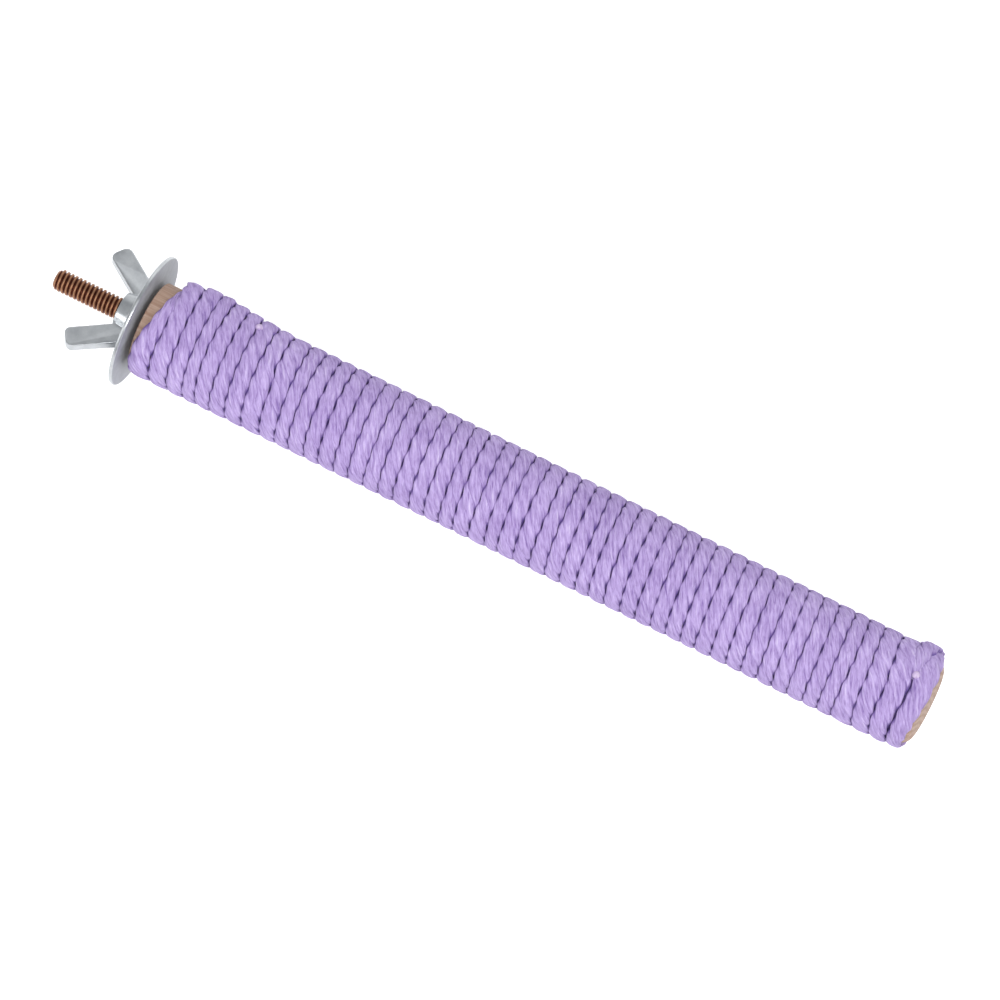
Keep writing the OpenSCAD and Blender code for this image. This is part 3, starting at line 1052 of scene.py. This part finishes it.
def glue_drop(name, node_name, seed, flatness, proud):
    """A drop in place of a node, flattened by a share and moved out by some millimetres."""
    low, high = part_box(node_name)
    centre = (low + high) / 2
    radius = (high - low).x / 2
    bpy.ops.object.select_all(action="DESELECT")
    bpy.ops.mesh.primitive_ico_sphere_add(subdivisions=5, radius=radius)
    drop = bpy.context.active_object
    drop.name = drop.data.name = name
    random.seed(seed)
    waves = []
    for _ in range(DROP_WAVES):
        way = Vector([random.gauss(0, 1) for _ in range(3)]).normalized()
        waves.append((way, random.uniform(*DROP_PHASES)))
    outward = Vector((0, centre.y, centre.z)).normalized()
    rate = DROP_WAVE_RATE / radius
    for corner in drop.data.vertices:
        ripple = sum(math.sin(rate * way.dot(corner.co) + phase) for way, phase in waves)
        corner.co *= 1 - DROP_UNEVENNESS + DROP_UNEVENNESS * ripple / DROP_WAVES
        corner.co -= outward * corner.co.dot(outward) * flatness
    drop.data.transform(Matrix.Translation(centre + outward * proud * MM))
    bpy.ops.object.shade_smooth()
    return dress(drop, GLUE_FINISH, "glue", node_name)


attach(glue_drop("start_glue_drop", "start_glue", 3, 0.2, 0.7), "perch")
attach(glue_drop("end_glue_drop", "end_glue", 5, 0.25, 0.1), "perch")


# The dowel, with its free end's edge eased by sanding and a pilot hole for the bolt at its other end

EASED_R = 3.2
EASED_STEPS = 8
EDGE_BREAK = 0.3
PILOT_R = 2.3
PILOT_SPARE = 1
PILOT_TAPER = 1
SEAT_R = 3.15
DOWEL_SIDES = 128
DOWEL_SMOOTH = 35


def turned_dowel():
    pilot_end = SCREW_TIP_X / MM + PILOT_SPARE
    outline = [
        (pilot_end, 0), (pilot_end - PILOT_TAPER, PILOT_R), (SHANK_TO + PILOT_TAPER, PILOT_R),
        (SHANK_TO, SEAT_R), (0, SEAT_R), (0, core_r - EDGE_BREAK), (EDGE_BREAK, core_r),
        (core_len / 2, core_r)]
    for step in range(EASED_STEPS + 1):
        a = math.pi / 2 * step / EASED_STEPS
        outline.append((core_len - EASED_R * (1 - math.sin(a)), core_r - EASED_R * (1 - math.cos(a))))
    outline.append((core_len, 0))
    piece = turned("dowel_turned", outline, DOWEL_SIDES, DOWEL_SMOOTH)
    return dress(piece, WOOD_FINISH, "dowel_wood", "wood_core")


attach(turned_dowel(), "perch")


# The floor and the light, in metres

FLOOR_DROP = 0.05
FLOOR_SIZE = 8
FLOOR_GLOW = 0.45
SKY_STRENGTH = 0.75
LIT_PLACE = Vector((0.1, 0, 0))


def floor():
    """A pale floor under the washer, whiter where it is seen, straight or in a shiny surface."""
    bpy.ops.object.select_all(action="DESELECT")
    bpy.ops.mesh.primitive_plane_add(size=FLOOR_SIZE, location=(0, 0, -WASHER_R - FLOOR_DROP))
    plane = bpy.context.active_object
    plane.name = "floor"
    made, shader = material("pale_floor")
    shader.inputs["Base Color"].default_value = linear("#f4f4f4")
    shader.inputs["Roughness"].default_value = 0.9
    shader.inputs["Emission Color"].default_value = (1, 1, 1, 1)
    path = node(made, "ShaderNodeLightPath")
    seen = path.outputs["Is Camera Ray"]
    for ray in ("Is Glossy Ray", "Is Transmission Ray"):
        either = node(made, "ShaderNodeMath", {0: seen, 1: path.outputs[ray]}, operation="MAXIMUM")
        seen = either.outputs["Value"]
    strength = node(made, "ShaderNodeMath", {0: seen, 1: FLOOR_GLOW}, operation="MULTIPLY")
    feed(made, shader, Emission_Strength=strength.outputs["Value"])
    plane.data.materials.append(made)


def lamp(name, place, size, watts):
    """A square soft lamp that points at the perch."""
    data = bpy.data.lights.new(name, "AREA")
    data.shape = "SQUARE"
    data.size = size
    data.energy = watts
    found = bpy.data.objects.new(name, data)
    bpy.context.scene.collection.objects.link(found)
    found.location = place
    found.rotation_euler = (LIT_PLACE - Vector(place)).to_track_quat("-Z", "Y").to_euler()


def studio_light():
    world = bpy.data.worlds.new("studio")
    bpy.context.scene.world = world
    world.use_nodes = True
    background = world.node_tree.nodes["Background"]
    background.inputs["Color"].default_value = linear("#d8dadd")
    background.inputs["Strength"].default_value = SKY_STRENGTH
    lamp("front", (0.4, -0.85, 1.9), 0.5, 19.2)
    lamp("side", (-0.8, -1.15, 0.65), 0.5, 5)
    lamp("end", (1.3, -0.2, 1.0), 1.0, 5)
    lamp("back", (-0.2, 1.6, 0.8), 1.2, 5)


floor()
studio_light()

bpy.context.scene.view_settings.view_transform = "Standard"
